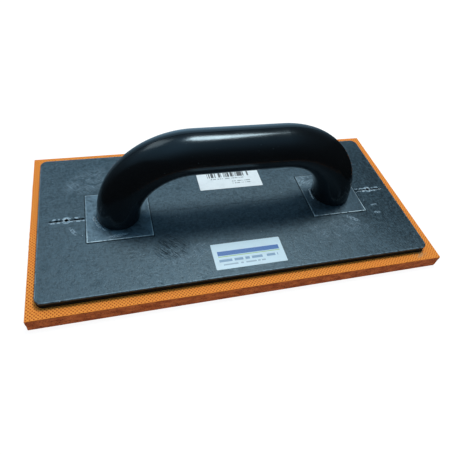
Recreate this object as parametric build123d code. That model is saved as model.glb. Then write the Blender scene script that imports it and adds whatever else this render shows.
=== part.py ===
"""Plastering hand float: a black plastic plate with a closed bow handle, faced with orange cellular rubber.

Millimetres. +Z is up, +X runs along the float, and the origin is the centre of the rubber's working face.
"""

import os
from math import radians, tan

from build123d import *

# Rubber facing
PAD_LENGTH = 280.0
PAD_WIDTH = 140.0
PAD_THICKNESS = 10.0
PAD_EDGE = 0.3  # knife-cut edge, barely broken

# Plate: the rubber shows all round it as a rim
RIM_AT_ENDS = 7.5
RIM_AT_SIDES = 8.0
PLATE_THICKNESS = 4.7
PLATE_CORNER = 5.0
PLATE_EDGE = 0.5
PLATE_OFFSET_X = -1.6  # glued on by hand, slightly off the rubber's centre
PLATE_OFFSET_Y = -0.8

# Adhesive film between the rubber and the plate
FILM_THICKNESS = 0.3
FILM_INSET = 1.0  # the glue stops this far inside the plate's outline

# Square mould mark round each foot: a low raised patch inside a narrow groove
PATCH_SIDE = 43.2
PATCH_PROUD = 0.3
PATCH_EDGE = 0.12
PATCH_GROOVE_WIDTH = 0.6
PATCH_GROOVE_DEPTH = 0.4

# Parting line of the plate's mould, and the two gates on it
MOULD_LINE_WIDTH = 0.5
MOULD_LINE_HEIGHT = 0.12
MOULD_LINE_END_GAP = 5.0  # from the plate's end
GATE_FROM_PATCH = 12.2
GATE_PIT_RADIUS = 0.75
GATE_PIT_DEPTH = 1.2
GATE_RING_RADIUS = 2.1
GATE_RING_HEIGHT = 0.15

# Handle: a round hollow bar bent to a bow, in two half shells that meet on its middle plane
FOOT_SPACING = 161.0  # between the leg centres where they meet the plate
LEG_LEAN = 7.8  # degrees inwards from upright
BEND_RADIUS = 50.0
GRIP_HEIGHT = 51.0  # from the plate's top face to the grip's centre line
GRIP_DIAMETER = 29.0
SHELL_WALL = 3.0
SEAM_WIDTH = 0.3
SEAM_DEPTH = 0.2
TONGUE_WIDTH = 1.2
TONGUE_DEPTH = 1.2
TONGUE_CLEARANCE = 0.08

# Foot of each leg: a rounded end that stands on the patch and a spigot in a round socket
FOOT_EDGE = 1.4
SHOULDER = 2.2  # from the bar's surface in to the spigot's
SPIGOT_CLEARANCE = 0.1
FOOT_FLOOR = 1.7  # solid above the patch's level, below the leg's hollow

# Screws, from under the plate up into one boss in each half of each foot
SCREW_RADIUS = 2.0
SCREW_CORE_RADIUS = 1.45
SCREW_LENGTH = 18.0
THREAD_PITCH = 1.8
SCREW_TIP = 2.5
SCREW_HEAD_RADIUS = 3.9
SCREW_HEAD_RIM = 0.3
SCREW_HOLE_CLEARANCE = 0.15
RECESS_SPAN = 4.2
RECESS_SLOT = 0.9
RECESS_DEPTH = 1.3
COUNTERSINK_COVER = 0.4  # plate left between the head's cone and the socket
BOSS_RADIUS = 4.2
BOSS_BITE = 0.3  # how far a boss runs into the leg's wall
BOSS_ROOF = 3.0  # boss above the end of its pilot hole
PILOT_RADIUS = 1.6
PILOT_SPARE = 1.5  # pilot hole beyond the screw's tip

# Stickers on the plate's top face
LABEL_THICKNESS = 0.12
LABEL_CORNER = 0.6
MAKER_LABEL_SIZE = (49.0, 20.6)
MAKER_LABEL_SHIFT = 0.8  # along the float, from the plate's middle
MAKER_LABEL_MARGIN = 5.7  # to the plate's front edge
CODE_LABEL_SIZE = (49.6, 25.0)
CODE_LABEL_SHIFT = 5.4
CODE_LABEL_MARGIN = 21.1  # to the plate's rear edge

# Levels, radii and places that follow from the sizes above
PLATE_LENGTH = PAD_LENGTH - 2 * RIM_AT_ENDS
PLATE_WIDTH = PAD_WIDTH - 2 * RIM_AT_SIDES
FILM_TOP = PAD_THICKNESS + FILM_THICKNESS
PLATE_TOP = FILM_TOP + PLATE_THICKNESS
PATCH_TOP = PLATE_TOP + PATCH_PROUD
SCREW_HEAD_HEIGHT = SCREW_HEAD_RIM + SCREW_HEAD_RADIUS - SCREW_RADIUS
SOCKET_FLOOR = FILM_TOP + SCREW_HEAD_HEIGHT + COUNTERSINK_COVER
HOLLOW_FLOOR = PATCH_TOP + FOOT_FLOOR
SCREW_TOP = FILM_TOP + SCREW_LENGTH
PILOT_TOP = SCREW_TOP + PILOT_SPARE
BAR_RADIUS = GRIP_DIAMETER / 2
SPIGOT_RADIUS = BAR_RADIUS - SHOULDER
FOOT_X = FOOT_SPACING / 2
BOSS_Y = BAR_RADIUS - SHELL_WALL - BOSS_RADIUS + BOSS_BITE
GATE_X = FOOT_X + PATCH_SIDE / 2 + GATE_FROM_PATCH

BOTH_WAYS = (-1, 1)
PLATE_PLACE = Location((PLATE_OFFSET_X, PLATE_OFFSET_Y, 0))
FAR = 2 * PAD_LENGTH  # larger than the whole float
SUNK = 1.0  # how far raised marks run down into the plate


def slab(length, width, bottom, top, corner=0.0):
    """An upright block centred on Z, with its upright edges rounded to corner."""
    outline = RectangleRounded(length, width, corner) if corner else Rectangle(length, width)
    return extrude(Pos(0, 0, bottom) * outline, top - bottom)


def rod(radius, bottom, top):
    """An upright cylinder centred on Z."""
    return extrude(Pos(0, 0, bottom) * Circle(radius), top - bottom)


def top_edges(shape):
    return shape.faces().sort_by(Axis.Z)[-1].edges()


def at_feet(shape):
    """A copy of shape at each foot."""
    return [Pos(way * FOOT_X, 0, 0) * shape for way in BOTH_WAYS]


def at_screws(shape):
    """A copy of shape at each screw."""
    return [Pos(0, way * BOSS_Y, 0) * copy for copy in at_feet(shape) for way in BOTH_WAYS]


def bow_bar(radius, bottom):
    """The handle's round bar at a given radius, cut off level at bottom."""
    lean = tan(radians(LEG_LEAN))
    spare = BAR_RADIUS  # the legs run on below the plate's top face before they are cut off
    foot = FOOT_X + spare * lean
    bend = FOOT_X - GRIP_HEIGHT * lean
    path = Plane.XZ * FilletPolyline(
        (-foot, PLATE_TOP - spare),
        (-bend, PLATE_TOP + GRIP_HEIGHT),
        (bend, PLATE_TOP + GRIP_HEIGHT),
        (foot, PLATE_TOP - spare),
        radius=BEND_RADIUS,
    )
    section = Plane(origin=path @ 0, z_dir=path % 0) * Circle(radius)
    return sweep(section, path=path) & slab(FAR, FAR, bottom, PLATE_TOP + FAR)


def rubber_pad():
    pad = slab(PAD_LENGTH, PAD_WIDTH, 0, PAD_THICKNESS)
    return chamfer(pad.edges(), PAD_EDGE)


def adhesive_film():
    length = PLATE_LENGTH - 2 * FILM_INSET
    width = PLATE_WIDTH - 2 * FILM_INSET
    return slab(length, width, PAD_THICKNESS, FILM_TOP, PLATE_CORNER - FILM_INSET)


def countersunk_hole():
    """Clearance for one screw, its head flush with the plate's underside."""
    shank = SCREW_RADIUS + SCREW_HOLE_CLEARANCE
    head = SCREW_HEAD_RADIUS + SCREW_HOLE_CLEARANCE
    profile = Polyline(
        (0, FILM_TOP),
        (head, FILM_TOP),
        (head, FILM_TOP + SCREW_HEAD_RIM),
        (shank, FILM_TOP + SCREW_HEAD_RIM + head - shank),
        (shank, SOCKET_FLOOR),
        (0, SOCKET_FLOOR),
        close=True,
    )
    return revolve(Plane.XZ * make_face(profile), Axis.Z)


def patch_groove():
    outer = PATCH_SIDE + 2 * PATCH_GROOVE_WIDTH
    bottom = PLATE_TOP - PATCH_GROOVE_DEPTH
    return slab(outer, outer, bottom, PATCH_TOP) - slab(PATCH_SIDE, PATCH_SIDE, bottom, PATCH_TOP)


def base_plate():
    plate = slab(PLATE_LENGTH, PLATE_WIDTH, FILM_TOP, PLATE_TOP, PLATE_CORNER)
    plate = fillet(top_edges(plate), PLATE_EDGE)
    patch = slab(PATCH_SIDE, PATCH_SIDE, PLATE_TOP - SUNK, PATCH_TOP)
    patch = chamfer(top_edges(patch), PATCH_EDGE)
    line_length = PLATE_LENGTH - 2 * MOULD_LINE_END_GAP
    plate += slab(line_length, MOULD_LINE_WIDTH, PLATE_TOP - SUNK, PLATE_TOP + MOULD_LINE_HEIGHT)
    for groove, raised in zip(at_feet(patch_groove()), at_feet(patch)):
        plate = plate - groove + raised
    for way in BOTH_WAYS:
        gate = Pos(way * GATE_X, 0, 0)
        plate += gate * rod(GATE_RING_RADIUS, PLATE_TOP - SUNK, PLATE_TOP + GATE_RING_HEIGHT)
        plate -= gate * rod(GATE_PIT_RADIUS, PLATE_TOP - GATE_PIT_DEPTH, PATCH_TOP)
    plate -= at_feet(rod(SPIGOT_RADIUS + SPIGOT_CLEARANCE, SOCKET_FLOOR, PATCH_TOP))
    plate -= at_screws(countersunk_hole())
    return plate


def screw_bosses():
    return at_screws(rod(BOSS_RADIUS, SOCKET_FLOOR, PILOT_TOP + BOSS_ROOF))


def seam_groove():
    """The shallow groove that the two half shells leave along their joint."""
    skin = bow_bar(BAR_RADIUS + SEAM_DEPTH, HOLLOW_FLOOR) - bow_bar(BAR_RADIUS - SEAM_DEPTH, HOLLOW_FLOOR)
    return skin & slab(FAR, SEAM_WIDTH, 0, FAR)


def whole_handle():
    """Both half shells as one: hollow bar, rounded feet, spigots and screw bosses."""
    body = bow_bar(BAR_RADIUS, PATCH_TOP)
    soles = body.faces().group_by(Axis.Z)[0]
    body = fillet(soles.edges(), FOOT_EDGE)
    body += at_feet(rod(SPIGOT_RADIUS, SOCKET_FLOOR, HOLLOW_FLOOR))
    body -= bow_bar(BAR_RADIUS - SHELL_WALL, HOLLOW_FLOOR) - screw_bosses()
    body -= seam_groove()
    return body - at_screws(rod(PILOT_RADIUS, SOCKET_FLOOR, PILOT_TOP))


def seam_tongue(clearance):
    """What joins the half shells: a tongue in the middle of the wall, behind the middle plane."""
    middle = BAR_RADIUS - SHELL_WALL / 2
    reach = TONGUE_WIDTH / 2 + clearance
    band = bow_bar(middle + reach, HOLLOW_FLOOR) - bow_bar(middle - reach, HOLLOW_FLOOR)
    depth = TONGUE_DEPTH + clearance
    return band & (Pos(0, depth / 2, 0) * slab(FAR, depth, 0, FAR))


def handle_shells():
    body = whole_handle()
    half = slab(FAR, FAR, 0, FAR)
    front = (body & (Pos(0, -FAR / 2, 0) * half)) + seam_tongue(0)
    rear = (body & (Pos(0, FAR / 2, 0) * half)) - seam_tongue(TONGUE_CLEARANCE)
    return front, rear


def handle_screw():
    """Countersunk self-tapping screw, head down, with its thread as a stack of ridges."""
    points = [
        (0, FILM_TOP),
        (SCREW_HEAD_RADIUS, FILM_TOP),
        (SCREW_HEAD_RADIUS, FILM_TOP + SCREW_HEAD_RIM),
        (SCREW_RADIUS, FILM_TOP + SCREW_HEAD_HEIGHT),
        (SCREW_RADIUS, SOCKET_FLOOR),
    ]
    level = SOCKET_FLOOR
    while level + THREAD_PITCH < SCREW_TOP - SCREW_TIP:
        points.append((SCREW_CORE_RADIUS, level + 0.3 * THREAD_PITCH))
        points.append((SCREW_CORE_RADIUS, level + 0.7 * THREAD_PITCH))
        level += THREAD_PITCH
        points.append((SCREW_RADIUS, level))
    points.append((SCREW_CORE_RADIUS, SCREW_TOP - SCREW_TIP))
    points.append((0, SCREW_TOP))
    screw = revolve(Plane.XZ * make_face(Polyline(*points, close=True)), Axis.Z)
    slot = slab(RECESS_SPAN, RECESS_SLOT, FILM_TOP, FILM_TOP + RECESS_DEPTH)
    return screw - slot - Rot(0, 0, 90) * slot


def sticker(size, x, y):
    return Pos(x, y, 0) * slab(*size, PLATE_TOP, PLATE_TOP + LABEL_THICKNESS, LABEL_CORNER)


def maker_label():
    depth = MAKER_LABEL_SIZE[1]
    return sticker(MAKER_LABEL_SIZE, MAKER_LABEL_SHIFT, depth / 2 + MAKER_LABEL_MARGIN - PLATE_WIDTH / 2)


def code_label():
    depth = CODE_LABEL_SIZE[1]
    return sticker(CODE_LABEL_SIZE, CODE_LABEL_SHIFT, PLATE_WIDTH / 2 - CODE_LABEL_MARGIN - depth / 2)


def sub_parts():
    """Each node's name and shape. All but the rubber shift together by the plate's offset."""
    front, rear = handle_shells()
    yield "rubber_pad", rubber_pad()
    yield "adhesive_film", PLATE_PLACE * adhesive_film()
    yield "base_plate", PLATE_PLACE * base_plate()
    yield "handle_front_shell", PLATE_PLACE * front
    yield "handle_rear_shell", PLATE_PLACE * rear
    yield "handle_screws", PLATE_PLACE * (Part() + at_screws(handle_screw()))
    yield "maker_label", PLATE_PLACE * maker_label()
    yield "code_label", PLATE_PLACE * code_label()


os.makedirs("parts", exist_ok=True)
for node, shape in sub_parts():
    export_step(shape, f"parts/{node}.step")
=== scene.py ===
import math

import bpy
import numpy as np
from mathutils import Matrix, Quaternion, Vector, noise


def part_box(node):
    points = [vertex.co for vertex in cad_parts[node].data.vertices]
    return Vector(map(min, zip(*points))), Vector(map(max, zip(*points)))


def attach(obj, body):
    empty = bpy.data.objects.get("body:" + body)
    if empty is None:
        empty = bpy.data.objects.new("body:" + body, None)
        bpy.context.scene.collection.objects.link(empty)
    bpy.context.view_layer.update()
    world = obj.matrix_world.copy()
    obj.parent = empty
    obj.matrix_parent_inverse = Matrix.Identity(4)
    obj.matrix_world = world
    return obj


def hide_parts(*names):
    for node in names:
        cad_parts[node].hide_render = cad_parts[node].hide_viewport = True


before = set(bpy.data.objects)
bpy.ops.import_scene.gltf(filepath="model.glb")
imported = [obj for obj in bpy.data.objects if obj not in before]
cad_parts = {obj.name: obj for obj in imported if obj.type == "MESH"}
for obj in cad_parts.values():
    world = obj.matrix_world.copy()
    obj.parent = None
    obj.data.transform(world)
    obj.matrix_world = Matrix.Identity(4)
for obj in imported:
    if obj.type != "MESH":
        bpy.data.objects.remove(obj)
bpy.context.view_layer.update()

MM = 0.001

# Camera: where it stands over the float, and how it is turned
CAMERA_AZIMUTH = -21.73
CAMERA_ELEVATION = 48.90
CAMERA_ROLL = 9.99
CAMERA_PLACE = Vector((-79.48, -198.12, 231.09)) * MM
CAMERA_LENS = 32.47

# Light: two lamp panels, given by their direction from the float, in a bluish room
LAMP_DISTANCE = 1.2
LAMP_COLOUR = (1.0, 1.0, 0.98)
ROOM_COLOUR = (0.45, 0.75, 1.0, 1.0)
FLOOR_SIZE = 8
FLOOR_GLOW = 0.93

# Tints of the plastics' reflections, and the painted shade put in grooves and pits too narrow to reflect, on
# the mould line and on the plate's sides
PLATE_SHEEN = (0.58, 0.84, 1.0, 1.0)
HANDLE_SHEEN = (0.66, 0.88, 1.0, 1.0)
SHADE = (0.001, 0.0012, 0.0015, 1.0)

# Rubber facing: a mesh of square cells, four to each repeat of the cloth imprint
CELLS_ACROSS = 252
CELLS_PER_WEAVE = 4
RIM_CELLS = 18  # how far in from the outline the upper face is meshed
WEAVE_DEPTH = 0.16 * MM
SIDE_LEVELS = 14
EDGE_BREAK = 0.3 * MM
CUT_WAVER = 0.35 * MM  # slow unevenness of the knife's cut
WAVER_LENGTH = 24 * MM
PORE_DEPTH = 0.3 * MM
PORE_SIZE = 1.3 * MM

# Corners of a cell of one or two steps, with the points on its sides
SINGLE_CELL = ((0, 0), (1, 0), (1, 1), (0, 1))
DOUBLE_CELL = ((0, 0), (1, 0), (2, 0), (2, 1), (2, 2), (1, 2), (0, 2), (0, 1))

# Marks on the plate that follow the moulding
PATCH_HALF = 21.6 * MM
GROOVE_WIDTH = 0.6 * MM
SCREW_HEAD_RADIUS = 3.9 * MM
FOOT_RADIUS = 14.5 * MM
GATE_FROM_PATCH = 12.2 * MM
LINE_PAST_GATE = 11 * MM
PIT_RADIUS = 1.5 * MM
FLASH_ASIDE = 1.0 * MM  # the torn ridges run along the near side of the mould line

PAD_LOW, PAD_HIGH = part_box("rubber_pad")
PLATE_LOW, PLATE_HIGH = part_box("base_plate")
SCREWS_LOW, SCREWS_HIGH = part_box("handle_screws")
PLATE_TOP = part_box("maker_label")[0].z  # the label lies on the plate, and the patches are higher
MIDDLE_X, MIDDLE_Y = (PLATE_LOW.x + PLATE_HIGH.x) / 2, (PLATE_LOW.y + PLATE_HIGH.y) / 2
FOOT_X = (SCREWS_LOW.x + SCREW_HEAD_RADIUS, SCREWS_HIGH.x - SCREW_HEAD_RADIUS)
GATE_X = (FOOT_X[0] - PATCH_HALF - GATE_FROM_PATCH, FOOT_X[1] + PATCH_HALF + GATE_FROM_PATCH)
CELL = (PAD_HIGH.y - PAD_LOW.y) / CELLS_ACROSS
WEAVE_TURN = 2 * math.pi / (CELLS_PER_WEAVE * CELL)


def linear(red, green, blue):
    """The scene-linear colour of a display colour given in 0-255."""

    def channel(value):
        value /= 255
        return value / 12.92 if value <= 0.04045 else ((value + 0.055) / 1.055) ** 2.4

    return channel(red), channel(green), channel(blue), 1.0


class Nodes:
    """A node tree with short ways to add nodes. Most methods return an output socket."""

    def __init__(self, tree):
        self.tree = tree

    def node(self, kind, **settings):
        made = self.tree.nodes.new(kind)
        for name, value in settings.items():
            setattr(made, name, value)
        return made

    def feed(self, socket, value):
        """Links a socket to another one, or sets it to a plain value."""
        if isinstance(value, bpy.types.NodeSocket):
            self.tree.links.new(value, socket)
        else:
            socket.default_value = value

    def math(self, operation, a, b=0.0, c=0.0):
        made = self.node("ShaderNodeMath", operation=operation)
        for socket, value in zip(made.inputs, (a, b, c)):
            self.feed(socket, value)
        return made.outputs[0]

    def ramp(self, value, low, high, to_low=0.0, to_high=1.0):
        """value from low..high to to_low..to_high, smoothly and clamped."""
        made = self.node("ShaderNodeMapRange", interpolation_type="SMOOTHSTEP")
        for socket, number in zip(made.inputs, (value, low, high, to_low, to_high)):
            self.feed(socket, number)
        return made.outputs[0]

    def chain(self, operation, first, *others):
        result = first
        for value in others:
            result = self.math(operation, result, value)
        return result

    def times(self, *values):
        return self.chain("MULTIPLY", *values)

    def plus(self, *values):
        return self.chain("ADD", *values)

    def most(self, *values):
        return self.chain("MAXIMUM", *values)


class Shader(Nodes):
    """One material, laid out in the object's own coordinates in metres."""

    def __init__(self, name):
        self.material = bpy.data.materials.new(name)
        self.material.use_nodes = True
        super().__init__(self.material.node_tree)
        self.surface = self.tree.nodes["Principled BSDF"]
        self.place = self.node("ShaderNodeTexCoord").outputs["Object"]
        self.x, self.y, self.z = self.split(self.place)

    def split(self, vector):
        made = self.node("ShaderNodeSeparateXYZ")
        self.feed(made.inputs[0], vector)
        return made.outputs

    def set(self, **values):
        """Sets the Principled shader's sockets, such as base_color."""
        for name, value in values.items():
            wanted = name.replace("_", " ").lower()
            socket = next(s for s in self.surface.inputs if s.name.lower() == wanted)
            self.feed(socket, value)

    def mapped(self, vector, scale=(1, 1, 1), shift=(0, 0, 0)):
        """A vector scaled and then shifted."""
        made = self.node("ShaderNodeMapping")
        self.feed(made.inputs["Vector"], vector)
        made.inputs["Location"].default_value = shift
        made.inputs["Scale"].default_value = scale
        return made.outputs[0]

    def turned(self, turn, shift=(0, 0, 0)):
        """The place shifted and then turned, so that lines at an angle to X run along X."""
        made = self.node("ShaderNodeVectorRotate", rotation_type="Z_AXIS")
        self.feed(made.inputs["Vector"], self.mapped(self.place, shift=shift))
        made.inputs["Angle"].default_value = math.radians(-turn)
        return made.outputs[0]

    def noise(self, size, detail=3.0, rough=0.5, warp=0.0, scale=(1, 1, 1), shift=(0, 0, 0), vector=None):
        """Noise from 0 to 1 with features of about the given size in metres."""
        made = self.node("ShaderNodeTexNoise")
        vector = self.place if vector is None else vector
        self.feed(made.inputs["Vector"], self.mapped(vector, scale, shift))
        made.inputs["Scale"].default_value = 1 / size
        made.inputs["Detail"].default_value = detail
        made.inputs["Roughness"].default_value = rough
        made.inputs["Distortion"].default_value = warp
        return made.outputs["Fac"]

    def streaks(self, size, turn, share, shift=(0, 0, 0)):
        """Long thin marks about size wide, at an angle to X, on roughly a share of the surface."""
        level = self.noise(size, scale=(0.05, 1, 1), shift=shift, vector=self.turned(turn))
        edge = 0.72 - 0.35 * share
        return self.ramp(level, edge, edge + 0.08)

    def cells(self, size, shift=(0, 0, 0)):
        """Scattered points: the distance to the nearest in units of size, and a number for each."""
        made = self.node("ShaderNodeTexVoronoi")
        self.feed(made.inputs["Vector"], self.mapped(self.place, shift=shift))
        made.inputs["Scale"].default_value = 1 / size
        return made.outputs["Distance"], self.split(made.outputs["Color"])[0]

    def specks(self, size, radius, share, shift=(0, 0, 0)):
        """Small round dots on a given share of scattered points."""
        distance, chance = self.cells(size, shift)
        dot = self.ramp(distance, radius / size, 0.5 * radius / size)
        return self.times(dot, self.ramp(chance, 1 - share, 1 - share + 0.02))

    def mix(self, share, a, b):
        """Colour a where share is 0, and b where it is 1."""
        made = self.node("ShaderNodeMix", data_type="RGBA")
        self.feed(made.inputs["Factor"], share)
        self.feed(made.inputs[6], a)
        self.feed(made.inputs[7], b)
        return made.outputs[2]

    def bump(self, height, depth, under=None):
        """A normal from a height of 0 to 1 that stands depth metres tall."""
        made = self.node("ShaderNodeBump")
        made.inputs["Distance"].default_value = depth
        self.feed(made.inputs["Height"], height)
        if under is not None:
            self.feed(made.inputs["Normal"], under)
        return made.outputs[0]

    def off(self, value, centre):
        """How far a coordinate is from a centre."""
        return self.math("ABSOLUTE", self.math("SUBTRACT", value, centre))

    def band(self, value, low, high, soft):
        """1 where value lies from low to high, with soft edges."""
        rise = self.ramp(value, low - soft, low + soft)
        return self.times(rise, self.ramp(value, high - soft, high + soft, 1.0, 0.0))

    def smudge(self, x, y, length, width, turn=0.0):
        """1 at a spot, falling off over an oval with its length at an angle to X. In millimetres."""
        spot = self.split(self.turned(turn, (-x * MM, -y * MM, 0)))
        along = self.times(spot[0], 2 / (length * MM))
        across = self.times(spot[1], 2 / (width * MM))
        away = self.plus(self.times(along, along), self.times(across, across))
        return self.ramp(away, 0.2, 1.3, 1.0, 0.0)


def rubber_skin():
    """The cloth-imprinted large faces of the rubber."""
    s = Shader("rubber_skin")
    wave_x = s.math("COSINE", s.times(s.x, WEAVE_TURN))
    wave_y = s.math("COSINE", s.times(s.y, WEAVE_TURN))
    weave = s.math("MULTIPLY_ADD", s.times(wave_x, wave_y), 0.5, 0.5)
    cloud = s.noise(16 * MM, 4)
    grain = s.noise(0.45 * MM, 4, 0.6)
    blotch = s.noise(3.5 * MM, 3, 0.6)
    # Painted light and shade on the cloth imprint: its raised lines lighter, its hollows darker
    colour = s.mix(s.ramp(weave, 0.05, 0.55), linear(180, 66, 14), linear(255, 158, 62))
    colour = s.mix(s.ramp(cloud, 0.4, 0.7, 0.0, 0.3), colour, linear(246, 132, 48))
    colour = s.mix(s.ramp(blotch, 0.6, 0.8, 0.0, 0.35), colour, linear(250, 178, 96))
    colour = s.mix(s.ramp(grain, 0.58, 0.8, 0.0, 0.35), colour, linear(178, 74, 26))
    worn = s.times(s.smudge(126, -64, 14, 7, 20), s.ramp(blotch, 0.4, 0.6))
    colour = s.mix(s.times(worn, 0.7), colour, linear(196, 150, 104))
    normal = s.bump(grain, 0.06 * MM, s.bump(weave, 0.12 * MM))
    s.set(base_color=colour, roughness=s.ramp(grain, 0.2, 0.8, 0.62, 0.85), normal=normal)
    s.set(specular_ior_level=0.25)
    return s.material


def rubber_cut():
    """The knife-cut sides of the rubber, with their opened pores painted dark as shade."""
    s = Shader("rubber_cut")
    pores = s.cells(1.2 * MM)[0]
    fine = s.noise(0.4 * MM, 4, 0.65)
    patch = s.noise(7 * MM, 3, scale=(1, 1, 2.0))
    colour = s.mix(s.ramp(patch, 0.3, 0.7), linear(146, 66, 32), linear(190, 100, 52))
    # Painted shade in the open pores
    colour = s.mix(s.ramp(pores, 0.08, 0.42, 0.9, 0.0), colour, linear(64, 20, 12))
    colour = s.mix(s.ramp(fine, 0.5, 0.72, 0.0, 0.6), colour, linear(214, 122, 66))
    ragged = s.plus(s.z, s.times(s.noise(1.6 * MM, 3), 1.4 * MM))
    top = PAD_HIGH.z + 0.7 * MM
    colour = s.mix(s.ramp(ragged, top - 0.9 * MM, top, 0.0, 0.75), colour, linear(240, 132, 48))
    height = s.math("MULTIPLY_ADD", fine, 0.4, s.ramp(pores, 0.0, 0.4))
    s.set(base_color=colour, roughness=0.9, normal=s.bump(height, 0.3 * MM))
    s.set(specular_ior_level=0.15)
    return s.material


def plate_scuffs(s, swirl):
    """Light rubbed marks, and dark scratches and pits, each from 0 to 1."""
    strokes = s.streaks(0.5 * MM, 34, 0.5)
    feather = s.streaks(0.5 * MM, -52, 0.5, shift=(0.3, 0, 0))
    flaked = s.ramp(s.noise(0.9 * MM, 4, 0.7), 0.42, 0.58)
    rubbed = s.most(
        s.smudge(78, -34, 44, 12, -14),
        s.smudge(60, -38, 34, 10, -38),
        s.smudge(-42, -40, 40, 14, 12),
        s.smudge(-100, 36, 40, 24, 30),
        s.smudge(62, 16, 16, 22, 65),
    )
    smears_and_glint = s.most(
        s.smudge(-112, -11, 9, 3.2, -58),
        s.smudge(86, -28, 12, 4, -35),
        s.smudge(110, -17, 6, 2.0, 4),
        s.smudge(109, -25, 6, 2.4, -6),
        # Beside the left foot, where the flash curls: painted pale, partly as a painted highlight
        s.smudge(-96, -6, 15, 2.4, -66),
        s.smudge(-84, -19, 16, 3.0, 8),
    )
    patchy = s.ramp(swirl, 0.38, 0.60, 0.1, 1.0)
    dabs = s.times(rubbed, patchy, s.most(s.times(s.most(strokes, feather), 0.5), s.times(flaked, 0.12)))
    light = s.most(
        dabs,
        s.times(smears_and_glint, flaked, 0.85),
        s.times(s.streaks(0.45 * MM, 12, 0.12), 0.3),
        s.times(s.specks(7 * MM, 0.42 * MM, 0.3), 0.85),
        s.times(s.specks(3 * MM, 0.2 * MM, 0.25, shift=(0.2, 0.1, 0)), 0.7),
    )
    dark = s.most(
        s.times(s.smudge(-50, -33, 26, 22, 20), s.most(feather, s.streaks(0.6 * MM, -40, 0.4))),
        s.times(s.streaks(0.5 * MM, -35, 0.08, shift=(0.6, 0, 0)), 0.7),
        s.times(s.smudge(-104, 24, 20, 26), s.ramp(swirl, 0.55, 0.75), 0.5),
        s.specks(11 * MM, 0.5 * MM, 0.3, shift=(0.5, 0.2, 0)),
    )
    return light, dark


def gate_marks(s, colour, broken):
    """The mould line past each patch, dark with torn pale edges, and the gate's pit and pale ring.

    Returns the colour, and where it is in shade, from 0 to 1.
    """
    span = (GATE_X[1] - GATE_X[0]) / 2
    past = s.math("SUBTRACT", s.off(s.x, (GATE_X[0] + GATE_X[1]) / 2), span)
    aside = s.off(s.y, MIDDLE_Y)
    wander = s.plus(aside, s.times(s.noise(2 * MM, 3), -0.5 * MM))
    reach = s.band(past, -GATE_FROM_PATCH, LINE_PAST_GATE, 0.5 * MM)
    flecks = s.ramp(s.noise(2.2 * MM, 4), 0.47, 0.56)
    torn = s.times(s.band(wander, 0.6 * MM, 1.9 * MM, 0.2 * MM), reach, flecks)
    colour = s.mix(s.times(torn, 0.85), colour, linear(156, 176, 188))
    line = s.times(s.ramp(wander, 0.55 * MM, 0.25 * MM), reach, s.ramp(broken, 0.05, 0.6))
    away = s.math("SQRT", s.plus(s.times(past, past), s.times(aside, aside)))
    ring = s.band(away, PIT_RADIUS - 0.1 * MM, 2 * PIT_RADIUS, 0.3 * MM)
    ring = s.times(ring, s.ramp(broken, 0.0, 1.0, 0.4, 0.9))
    shade = s.most(line, s.ramp(away, PIT_RADIUS, PIT_RADIUS - 0.5 * MM))
    return s.mix(shade, s.mix(ring, colour, linear(140, 160, 172)), SHADE), shade


def patch_marks(s, colour, swirl, broken, light):
    """The patches' rubbed faces, a painted highlight along their edges that is brightest at the front, and
    painted shade in the groove round each.

    Returns the colour, and where the groove is, from 0 to 1.
    """
    across = s.math("MINIMUM", s.off(s.x, FOOT_X[0]), s.off(s.x, FOOT_X[1]))
    beyond = s.math("SUBTRACT", s.most(across, s.off(s.y, MIDDLE_Y)), PATCH_HALF)
    inside = s.ramp(beyond, 0.1 * MM, -0.4 * MM)
    rubbed = s.times(inside, s.ramp(swirl, 0.35, 0.65, 0.2, 0.7), s.ramp(s.x, *FOOT_X, 1.0, 0.4))
    colour = s.mix(rubbed, colour, linear(98, 120, 134))
    colour = s.mix(s.times(light, inside, 0.8), colour, linear(176, 196, 206))
    # Painted shade in the groove
    groove = s.times(s.band(beyond, 0.0, GROOVE_WIDTH, 0.08 * MM), s.ramp(broken, 0.0, 1.0, 0.3, 0.9))
    colour = s.mix(groove, colour, SHADE)
    # Painted highlight along the patch's edge, stronger towards the front edge
    lip_glint = s.times(s.band(beyond, -0.75 * MM, -0.05 * MM, 0.1 * MM), s.ramp(broken, 0.0, 1.0, 0.2, 1.0))
    facing = s.ramp(s.y, MIDDLE_Y - 6 * MM, MIDDLE_Y - 18 * MM, 0.3, 1.0)
    return s.mix(s.times(lip_glint, facing, 0.9), colour, linear(186, 206, 214)), groove


def edge_marks(s, colour, broken):
    """The plate's upper edge, lighter with wear and a painted highlight, and its sides painted dark as
    shade.

    Returns the colour, and where the sides are, from 0 to 1.
    """
    in_x = s.math("SUBTRACT", (PLATE_HIGH.x - PLATE_LOW.x) / 2, s.off(s.x, MIDDLE_X))
    in_y = s.math("SUBTRACT", (PLATE_HIGH.y - PLATE_LOW.y) / 2, s.off(s.y, MIDDLE_Y))
    # Lighter along the upper edge: wear and a painted highlight
    edge = s.times(s.band(s.math("MINIMUM", in_x, in_y), 0.1 * MM, 0.9 * MM, 0.15 * MM), broken)
    colour = s.mix(s.times(edge, 0.4), colour, linear(136, 156, 168))
    # The sides get painted shade
    side = s.ramp(s.z, PLATE_TOP - 0.9 * MM, PLATE_TOP - 1.7 * MM)
    return s.mix(side, colour, SHADE), side


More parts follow.
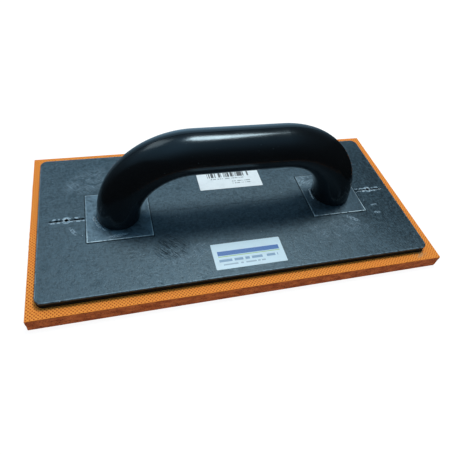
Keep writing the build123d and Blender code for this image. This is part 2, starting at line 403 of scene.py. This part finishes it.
def plate_plastic():
    """Matte black plastic, faintly blue, with tool marks, scuffs, specks, dirt, worn edges, painted
    highlights and painted shade.
    """
    s = Shader("plate_plastic")
    tooling = s.most(s.streaks(0.6 * MM, 1.5, 0.4), s.streaks(0.6 * MM, 88, 0.35, shift=(0.7, 0, 0)))
    cloud = s.noise(34 * MM, 4, 0.55, warp=0.8)
    swirl = s.noise(9 * MM, 5, 0.6, warp=2.2)
    mottle = s.noise(1.6 * MM, 4, 0.6, warp=0.5)
    grain = s.noise(0.4 * MM, 3, 0.6)
    broken = s.ramp(s.noise(3 * MM, 4, 0.65), 0.34, 0.56)
    light, dark = plate_scuffs(s, swirl)

    colour = s.mix(s.ramp(cloud, 0.3, 0.7), linear(10, 22, 28), linear(18, 34, 42))
    colour = s.mix(s.times(tooling, s.ramp(cloud, 0.3, 0.6, 0.06, 0.24)), colour, linear(84, 108, 120))
    colour = s.mix(s.ramp(mottle, 0.46, 0.66, 0.0, 0.30), colour, linear(70, 92, 104))
    colour = s.mix(s.ramp(mottle, 0.50, 0.34, 0.0, 0.70), colour, linear(6, 10, 13))
    colour = s.mix(light, colour, linear(142, 160, 172))
    colour = s.mix(dark, colour, linear(10, 14, 18))
    colour, shade = gate_marks(s, colour, broken)
    colour, groove = patch_marks(s, colour, swirl, broken, light)
    colour, side = edge_marks(s, colour, broken)

    # Painted shade and dark marks reflect like dark metal, which dulls the plastic's sheen there
    # Darker towards the right end as painted shade, and in blotches at random from the mottle and swirl
    dirt_and_shade = s.times(s.smudge(128, 0, 110, 130), s.ramp(swirl, 0.3, 0.6, 0.35, 0.6))
    dirt_and_shade = s.most(dirt_and_shade, s.ramp(mottle, 0.50, 0.34, 0.0, 0.22), s.ramp(swirl, 0.48, 0.32, 0.0, 0.3))
    dirt_and_shade = s.times(dirt_and_shade, s.ramp(light, 0.0, 0.4, 1.0, 0.0))
    dull = s.most(shade, s.times(groove, 0.8), s.times(dark, 0.85), s.times(side, 0.6), dirt_and_shade)

    height = s.plus(s.times(tooling, 0.12), swirl, s.times(mottle, 1.2), s.times(grain, 0.5))
    height = s.plus(height, light, s.times(dark, -2.0))
    rough = s.ramp(s.plus(s.times(grain, 0.5), s.times(mottle, 0.5)), 0.36, 0.64, 0.38, 0.58)
    s.set(roughness=s.plus(rough, s.times(side, 0.3)), metallic=dull)
    s.set(ior=1.6, specular_ior_level=1.0, specular_tint=PLATE_SHEEN)
    s.set(base_color=colour, normal=s.bump(height, 0.14 * MM))
    return s.material


def flash_plastic():
    """The plate's plastic where it is thin or torn: pale, and partly a painted highlight where it catches
    the light.
    """
    s = Shader("flash_plastic")
    torn = s.noise(1.2 * MM, 4, 0.6)
    s.set(base_color=s.mix(s.ramp(torn, 0.3, 0.55), linear(96, 118, 130), linear(204, 218, 224)))
    s.set(roughness=0.4, normal=s.bump(s.noise(0.5 * MM), 0.05 * MM))
    return s.material


def handle_plastic():
    """Gloss black plastic with a faint orange peel, haze, dust and hairline scratches."""
    s = Shader("handle_plastic")
    peel = s.noise(2.6 * MM, 2, 0.4)
    haze = s.noise(20 * MM, 4, 0.6)
    scratch = s.streaks(0.35 * MM, 8, 0.04)
    dust = s.most(s.specks(9 * MM, 0.35 * MM, 0.25), s.specks(4 * MM, 0.16 * MM, 0.3, shift=(0.3, 0.7, 0.1)))
    marks = s.most(s.times(dust, 0.5), s.times(scratch, 0.12))
    s.set(base_color=s.mix(marks, linear(15, 17, 19), linear(120, 136, 146)))
    s.set(ior=1.5, specular_tint=HANDLE_SHEEN)
    s.set(roughness=s.plus(s.ramp(haze, 0.3, 0.7, 0.165, 0.23), s.times(marks, 0.4)))
    s.set(normal=s.bump(peel, 0.010 * MM, s.bump(scratch, 0.006 * MM)))
    return s.material


def screw_zinc():
    s = Shader("screw_zinc")
    s.set(base_color=s.mix(s.noise(1.5 * MM), linear(170, 168, 158), linear(206, 204, 196)))
    s.set(metallic=1.0, roughness=s.ramp(s.noise(0.6 * MM), 0.3, 0.7, 0.25, 0.42))
    return s.material


def dried_glue():
    s = Shader("dried_glue")
    s.set(base_color=s.mix(s.noise(4 * MM), linear(96, 62, 26), linear(140, 98, 48)))
    s.set(roughness=0.45, normal=s.bump(s.noise(1.5 * MM), 0.05 * MM))
    return s.material


class Label(Shader):
    """A printed sticker: u and v run across and up it in millimetres from its lower left corner."""

    def __init__(self, name, node, paper):
        super().__init__(name)
        low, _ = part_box(node)
        self.u = self.times(self.math("SUBTRACT", self.x, low.x), 1 / MM)
        self.v = self.times(self.math("SUBTRACT", self.y, low.y), 1 / MM)
        soiled = self.ramp(self.noise(6 * MM, 4, 0.6), 0.45, 0.75, 0.0, 0.3)
        self.colour = self.mix(soiled, paper, linear(196, 208, 212))

    def block(self, left, right, low, high):
        return self.times(self.band(self.u, left, right, 0.08), self.band(self.v, low, high, 0.08))

    def ink(self, mask, colour, strength=0.9):
        worn = self.ramp(self.noise(0.5 * MM, 3), 0.2, 0.5, 0.8, 1.0)
        self.colour = self.mix(self.times(mask, worn, strength), self.colour, colour)

    def bars(self, left, right, low, high, width, share, seed, colour, strength=0.9):
        """A row of upright bars, each place one width wide and inked by chance."""
        place = self.math("FLOOR", self.math("DIVIDE", self.u, width))
        chance = self.node("ShaderNodeTexWhiteNoise", noise_dimensions="1D")
        self.feed(chance.inputs["W"], self.plus(place, seed * 71.3))
        inked = self.ramp(chance.outputs["Value"], share, share - 0.01)
        self.ink(self.times(self.block(left, right, low, high), inked), colour, strength)


def maker_label():
    """Pale film printed with a plain blue band, a thin green line and rows of grey bars."""
    s = Label("maker_label_print", "maker_label", linear(214, 236, 244))
    s.ink(s.block(3.2, 46.2, 10.6, 14.2), linear(14, 96, 172))
    s.ink(s.block(3.2, 46.2, 9.5, 10.1), linear(150, 190, 60), 0.8)
    s.bars(3.2, 44.0, 5.6, 7.6, 1.5, 0.72, 1, linear(104, 142, 176), 0.8)
    s.bars(3.2, 36.0, 2.8, 3.9, 0.9, 0.7, 2, linear(130, 152, 170), 0.7)
    s.set(base_color=s.colour, roughness=0.32, normal=s.bump(s.noise(9 * MM), 0.03 * MM))
    return s.material


def code_label():
    """White paper printed with plain bars and short rows of grey marks."""
    s = Label("code_label_print", "code_label", linear(238, 246, 248))
    s.bars(8.0, 41.5, 12.4, 22.5, 0.42, 0.55, 3, linear(24, 28, 32))
    for seed, (left, right, level) in enumerate(((8, 38, 10.3), (26, 41, 6.8), (26, 41.5, 4.6)), start=4):
        s.bars(left, right, level, level + 0.9, 0.6, 0.6, seed, linear(96, 104, 110), 0.75)
    s.set(base_color=s.colour, roughness=0.55, normal=s.bump(s.noise(0.5 * MM, 4), 0.02 * MM))
    return s.material


def closed_mesh(name, points, faces, materials):
    mesh = bpy.data.meshes.new(name)
    mesh.from_pydata(points, [], faces)
    for material in materials:
        mesh.materials.append(material)
    mesh.update()
    piece = bpy.data.objects.new(name, mesh)
    bpy.context.scene.collection.objects.link(piece)
    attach(piece, "root")
    return piece


def outline(numbers, inset=0):
    """The numbers round a grid, inset from its edge, anticlockwise from its low corner."""
    rows, columns = numbers.shape
    grid = numbers[inset : rows - inset, inset : columns - inset]
    return np.concatenate([grid[:-1, 0], grid[-1, :-1], grid[:0:-1, -1], grid[0, :0:-1]])


def grid_faces(numbers, cell):
    """Faces over a grid of point numbers, each with a cell's corners. -1 is no point."""
    step = max(row for row, _ in cell)
    rows, columns = numbers.shape
    corners = [numbers[a : rows - step + a : step, b : columns - step + b : step].ravel() for a, b in cell]
    return [[number for number in face if number >= 0] for face in np.stack(corners).T.tolist()]


def cut_row(edge_x, edge_y, out_x, out_y, level):
    """The points round the rubber's side at one level, wavering and pitted inwards."""
    places = [Vector((a, b, level)) for a, b in zip(edge_x, edge_y)]
    waver = np.array([0.5 + 0.5 * noise.noise(place / WAVER_LENGTH) for place in places])
    pores = np.array([max(0.0, 0.2 + noise.noise(place / PORE_SIZE)) for place in places])
    depth = CUT_WAVER * waver + PORE_DEPTH * pores
    return np.column_stack([edge_x - out_x * depth, edge_y - out_y * depth, np.full(len(depth), level)])


def rubber_facing(skin, cut):
    """The rubber: imprinted faces and wavering, porous knife-cut sides, as one closed mesh."""
    across = CELLS_ACROSS
    along = round((PAD_HIGH.x - PAD_LOW.x) / CELL)
    i, j = np.meshgrid(np.arange(along + 1), np.arange(across + 1), indexing="ij")
    x = PAD_LOW.x + (PAD_HIGH.x - PAD_LOW.x) * i / along
    y = PAD_LOW.y + CELL * j
    out_x = (i == along) * 1.0 - (i == 0)
    out_y = (j == across) * 1.0 - (j == 0)
    inset = np.minimum(np.minimum(i, along - i), np.minimum(j, across - j))
    sunk = WEAVE_DEPTH * (0.5 - 0.5 * np.cos(WEAVE_TURN * x) * np.cos(WEAVE_TURN * y)) * (inset > 0)
    face_x = x - EDGE_BREAK * out_x
    face_y = y - EDGE_BREAK * out_y

    # The upper face is a rim of single cells, the lower one has double cells inside its outline
    rim = inset <= RIM_CELLS
    upper = np.full(x.shape, -1)
    upper[rim] = np.arange(rim.sum())
    kept = (inset == 0) | ((i % 2 == 0) & (j % 2 == 0))
    lower = np.full(x.shape, -1)
    lower[kept] = rim.sum() + np.arange(kept.sum())
    top = PAD_HIGH.z - sunk * (inset < RIM_CELLS)
    points = [np.stack([face_x, face_y, top], axis=-1)[rim]]
    points.append(np.stack([face_x, face_y, PAD_LOW.z + sunk], axis=-1)[kept])

    # Sides: a row of points at each level, between the outlines of the two faces
    edges = [outline(grid) for grid in (x, y, out_x, out_y)]
    rows = [outline(upper)]
    first = rim.sum() + kept.sum()
    for level in np.linspace(PAD_HIGH.z - EDGE_BREAK, PAD_LOW.z + EDGE_BREAK, SIDE_LEVELS):
        row = cut_row(*edges, level)
        points.append(row)
        rows.append(first + np.arange(len(row)))
        first += len(row)
    rows.append(outline(lower))

    faces = [face for face in grid_faces(upper, SINGLE_CELL) if len(face) == 4]
    faces.append(outline(upper, RIM_CELLS).tolist())
    faces += [face[::-1] for face in grid_faces(lower, DOUBLE_CELL)]
    skin_faces = len(faces)
    for high, low in zip(rows, rows[1:]):
        faces += np.stack([high, low, np.roll(low, -1), np.roll(high, -1)], axis=1).tolist()
    piece = closed_mesh("rubber_facing", np.concatenate(points).tolist(), faces, (skin, cut))
    for face in piece.data.polygons:
        face.material_index = int(face.index >= skin_faces)
        face.use_smooth = len(face.vertices) < 10  # all but the upper face's one large middle
    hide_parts("rubber_pad")


def bead(points, faces, route, width, height, seed, closed=False, least=0.12):
    """Adds a low uneven ridge of moulding flash that lies along a route on the plate."""
    ahead = np.roll(route, -1, axis=0) - np.roll(route, 1, axis=0)
    if not closed:
        ahead[0], ahead[-1] = route[1] - route[0], route[-1] - route[-2]
    ahead /= np.linalg.norm(ahead, axis=1)[:, None]
    first, count = len(points), len(route)
    for number, ((x, y), (dx, dy)) in enumerate(zip(route, ahead)):
        rough = noise.noise(Vector((x, y, seed * MM)) / (1.3 * MM))
        broken = noise.noise(Vector((x, y, seed * MM)) / (3.1 * MM))
        ends = 1.0 if closed else min(1.0, 0.25 * min(number, count - 1 - number))
        size = min(1.35, ends * max(least, 0.75 + rough + 0.8 * broken) + 0.02)
        reach, rise = 0.5 * width * size, height * size
        bend = 0.35 * width * noise.noise(Vector((x, y, (7 + seed) * MM)) / (2.2 * MM))
        x, y = x - dy * bend, y + dx * bend
        points += [(x - dy * reach, y + dx * reach, PLATE_TOP), (x, y, PLATE_TOP + rise)]
        points += [(x + dy * reach, y - dx * reach, PLATE_TOP), (x, y, PLATE_TOP - 0.05 * MM)]
    for number in range(count if closed else count - 1):
        a, b = first + 4 * number, first + 4 * ((number + 1) % count)
        faces += [(a + k, a + (k + 1) % 4, b + (k + 1) % 4, b + k) for k in range(4)]
    if not closed:
        last = first + 4 * (count - 1)
        faces += [(first + 3, first + 2, first + 1, first), (last, last + 1, last + 2, last + 3)]


def arc(x, y, radius, start, end, count):
    turns = np.radians(np.linspace(start, end, count))
    return np.column_stack([x + radius * np.cos(turns), y + radius * np.sin(turns)])


def moulding_flash():
    """Flash on the plate: torn ridges and a rim at each gate, and a curl beside each foot."""
    points, faces = [], []
    curls = (176, 240), (152, 200)
    widths = 0.5 * MM, 0.8 * MM
    for way, gate, foot, curl, width, seed in zip((-1, 1), GATE_X, FOOT_X, curls, widths, (3, 4)):
        rim = arc(gate, MIDDLE_Y, 1.7 * MM, 0, 345, 24)
        bead(points, faces, rim, 1.1 * MM, 0.35 * MM, seed, closed=True)
        for start, end in ((-9.5, -2.6), (2.8, 12.5)):
            steps = gate + way * np.linspace(start, end, 26) * MM
            line = np.column_stack([steps, np.full(len(steps), MIDDLE_Y - FLASH_ASIDE)])
            bead(points, faces, line, width, 0.3 * MM, seed + 8)
        flake = arc(foot, MIDDLE_Y, FOOT_RADIUS + 1.4 * MM, *curl, 24)
        bead(points, faces, flake, 2.2 * MM, 1.5 * MM, seed + 18, least=0.6)
    piece = closed_mesh("moulding_flash", points, faces, (flash_plastic(),))


def dress(node, material):
    """Gives a CAD node its material."""
    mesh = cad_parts[node].data
    mesh.materials.clear()
    mesh.materials.append(material)


def panel_lamp(name, direction, size, power):
    direction = Vector(direction).normalized()
    light = bpy.data.lights.new(name, "AREA")
    light.shape = "RECTANGLE"
    light.size, light.size_y = size
    light.energy = power
    light.color = LAMP_COLOUR
    lamp = bpy.data.objects.new(name, light)
    lamp.location = direction * LAMP_DISTANCE
    lamp.rotation_mode = "QUATERNION"
    lamp.rotation_quaternion = (-direction).to_track_quat("-Z", "Y")
    bpy.context.scene.collection.objects.link(lamp)


def room():
    """A dim room that glows overhead, behind and to the left, and is dark low to the front."""
    world = bpy.data.worlds.new("room")
    bpy.context.scene.world = world
    world.use_nodes = True
    n = Nodes(world.node_tree)
    sight = n.node("ShaderNodeTexCoord").outputs["Generated"]

    def toward(*direction):
        made = n.node("ShaderNodeVectorMath", operation="DOT_PRODUCT")
        n.feed(made.inputs[0], sight)
        made.inputs[1].default_value = Vector(direction).normalized()
        return made.outputs["Value"]

    def glow(strength, sharpness, *direction):
        return n.times(n.math("POWER", n.most(toward(*direction), 0.0), sharpness), strength)

    level = n.ramp(toward(0, 0, 1), -0.35, 0.5, 0.0, 0.04)
    overhead = n.plus(glow(0.85, 40.0, 0.08, 0.34, 0.94), glow(0.72, 5.0, -0.1, -0.22, 0.97))
    behind = n.plus(glow(0.25, 3.0, 0.0, 1.0, 0.0), glow(1.0, 10.0, 0.15, 1.0, 0.05))
    light = n.plus(level, overhead, behind, glow(0.45, 10.0, -0.6, 0.35, 0.72))
    light = n.times(light, n.ramp(toward(-0.807, -0.565, -0.174), 0.62, 0.66, 1.0, 0.03))
    light = n.times(light, n.ramp(toward(0.853, -0.150, -0.500), 0.62, 0.66, 1.0, 0.03))
    lit = n.tree.nodes["Background"]
    lit.inputs["Color"].default_value = ROOM_COLOUR
    n.feed(lit.inputs["Strength"], light)
    backdrop = n.node("ShaderNodeBackground")
    backdrop.inputs["Color"].default_value = linear(250, 250, 250)
    chosen = n.node("ShaderNodeMixShader")
    n.feed(chosen.inputs[0], n.node("ShaderNodeLightPath").outputs["Is Camera Ray"])
    n.feed(chosen.inputs[1], lit.outputs[0])
    n.feed(chosen.inputs[2], backdrop.outputs[0])
    n.feed(n.tree.nodes["World Output"].inputs[0], chosen.outputs[0])


def stage():
    """A plain pale floor that glows a little, so that the float's shadow on it stays faint."""
    bpy.ops.mesh.primitive_plane_add(size=FLOOR_SIZE)
    floor = bpy.context.object
    floor.name = "floor"
    pale = Shader("floor_pale")
    pale.set(base_color=linear(110, 110, 110), roughness=1.0, specular_ior_level=0.0)
    pale.set(emission_color=(1.0, 1.0, 1.0, 1.0), emission_strength=FLOOR_GLOW)
    floor.data.materials.append(pale.material)
    floor.visible_glossy = False
    room()
    panel_lamp("ceiling_panel", (0.17, 0.235, 0.957), (0.34, 0.34), 8.8)
    panel_lamp("side_panel", (-0.443, 0.496, 0.747), (0.40, 0.50), 1.3)


def camera():
    data = bpy.data.cameras.new("camera")
    data.lens = CAMERA_LENS
    data.clip_start = 0.01
    viewer = bpy.data.objects.new("camera", data)
    a, e = math.radians(CAMERA_AZIMUTH), math.radians(CAMERA_ELEVATION)
    back = Vector((math.sin(a) * math.cos(e), -math.cos(a) * math.cos(e), math.sin(e)))
    viewer.location = CAMERA_PLACE
    viewer.rotation_mode = "QUATERNION"
    roll = Quaternion((0, 0, 1), math.radians(CAMERA_ROLL))
    viewer.rotation_quaternion = (-back).to_track_quat("-Z", "Y") @ roll
    bpy.context.scene.collection.objects.link(viewer)
    bpy.context.scene.camera = viewer


camera()
stage()
rubber_facing(rubber_skin(), rubber_cut())
moulding_flash()
dress("base_plate", plate_plastic())
black = handle_plastic()
dress("handle_front_shell", black)
dress("handle_rear_shell", black)
dress("handle_screws", screw_zinc())
dress("adhesive_film", dried_glue())
dress("maker_label", maker_label())
dress("code_label", code_label())
bpy.context.scene.view_settings.view_transform = "Standard"
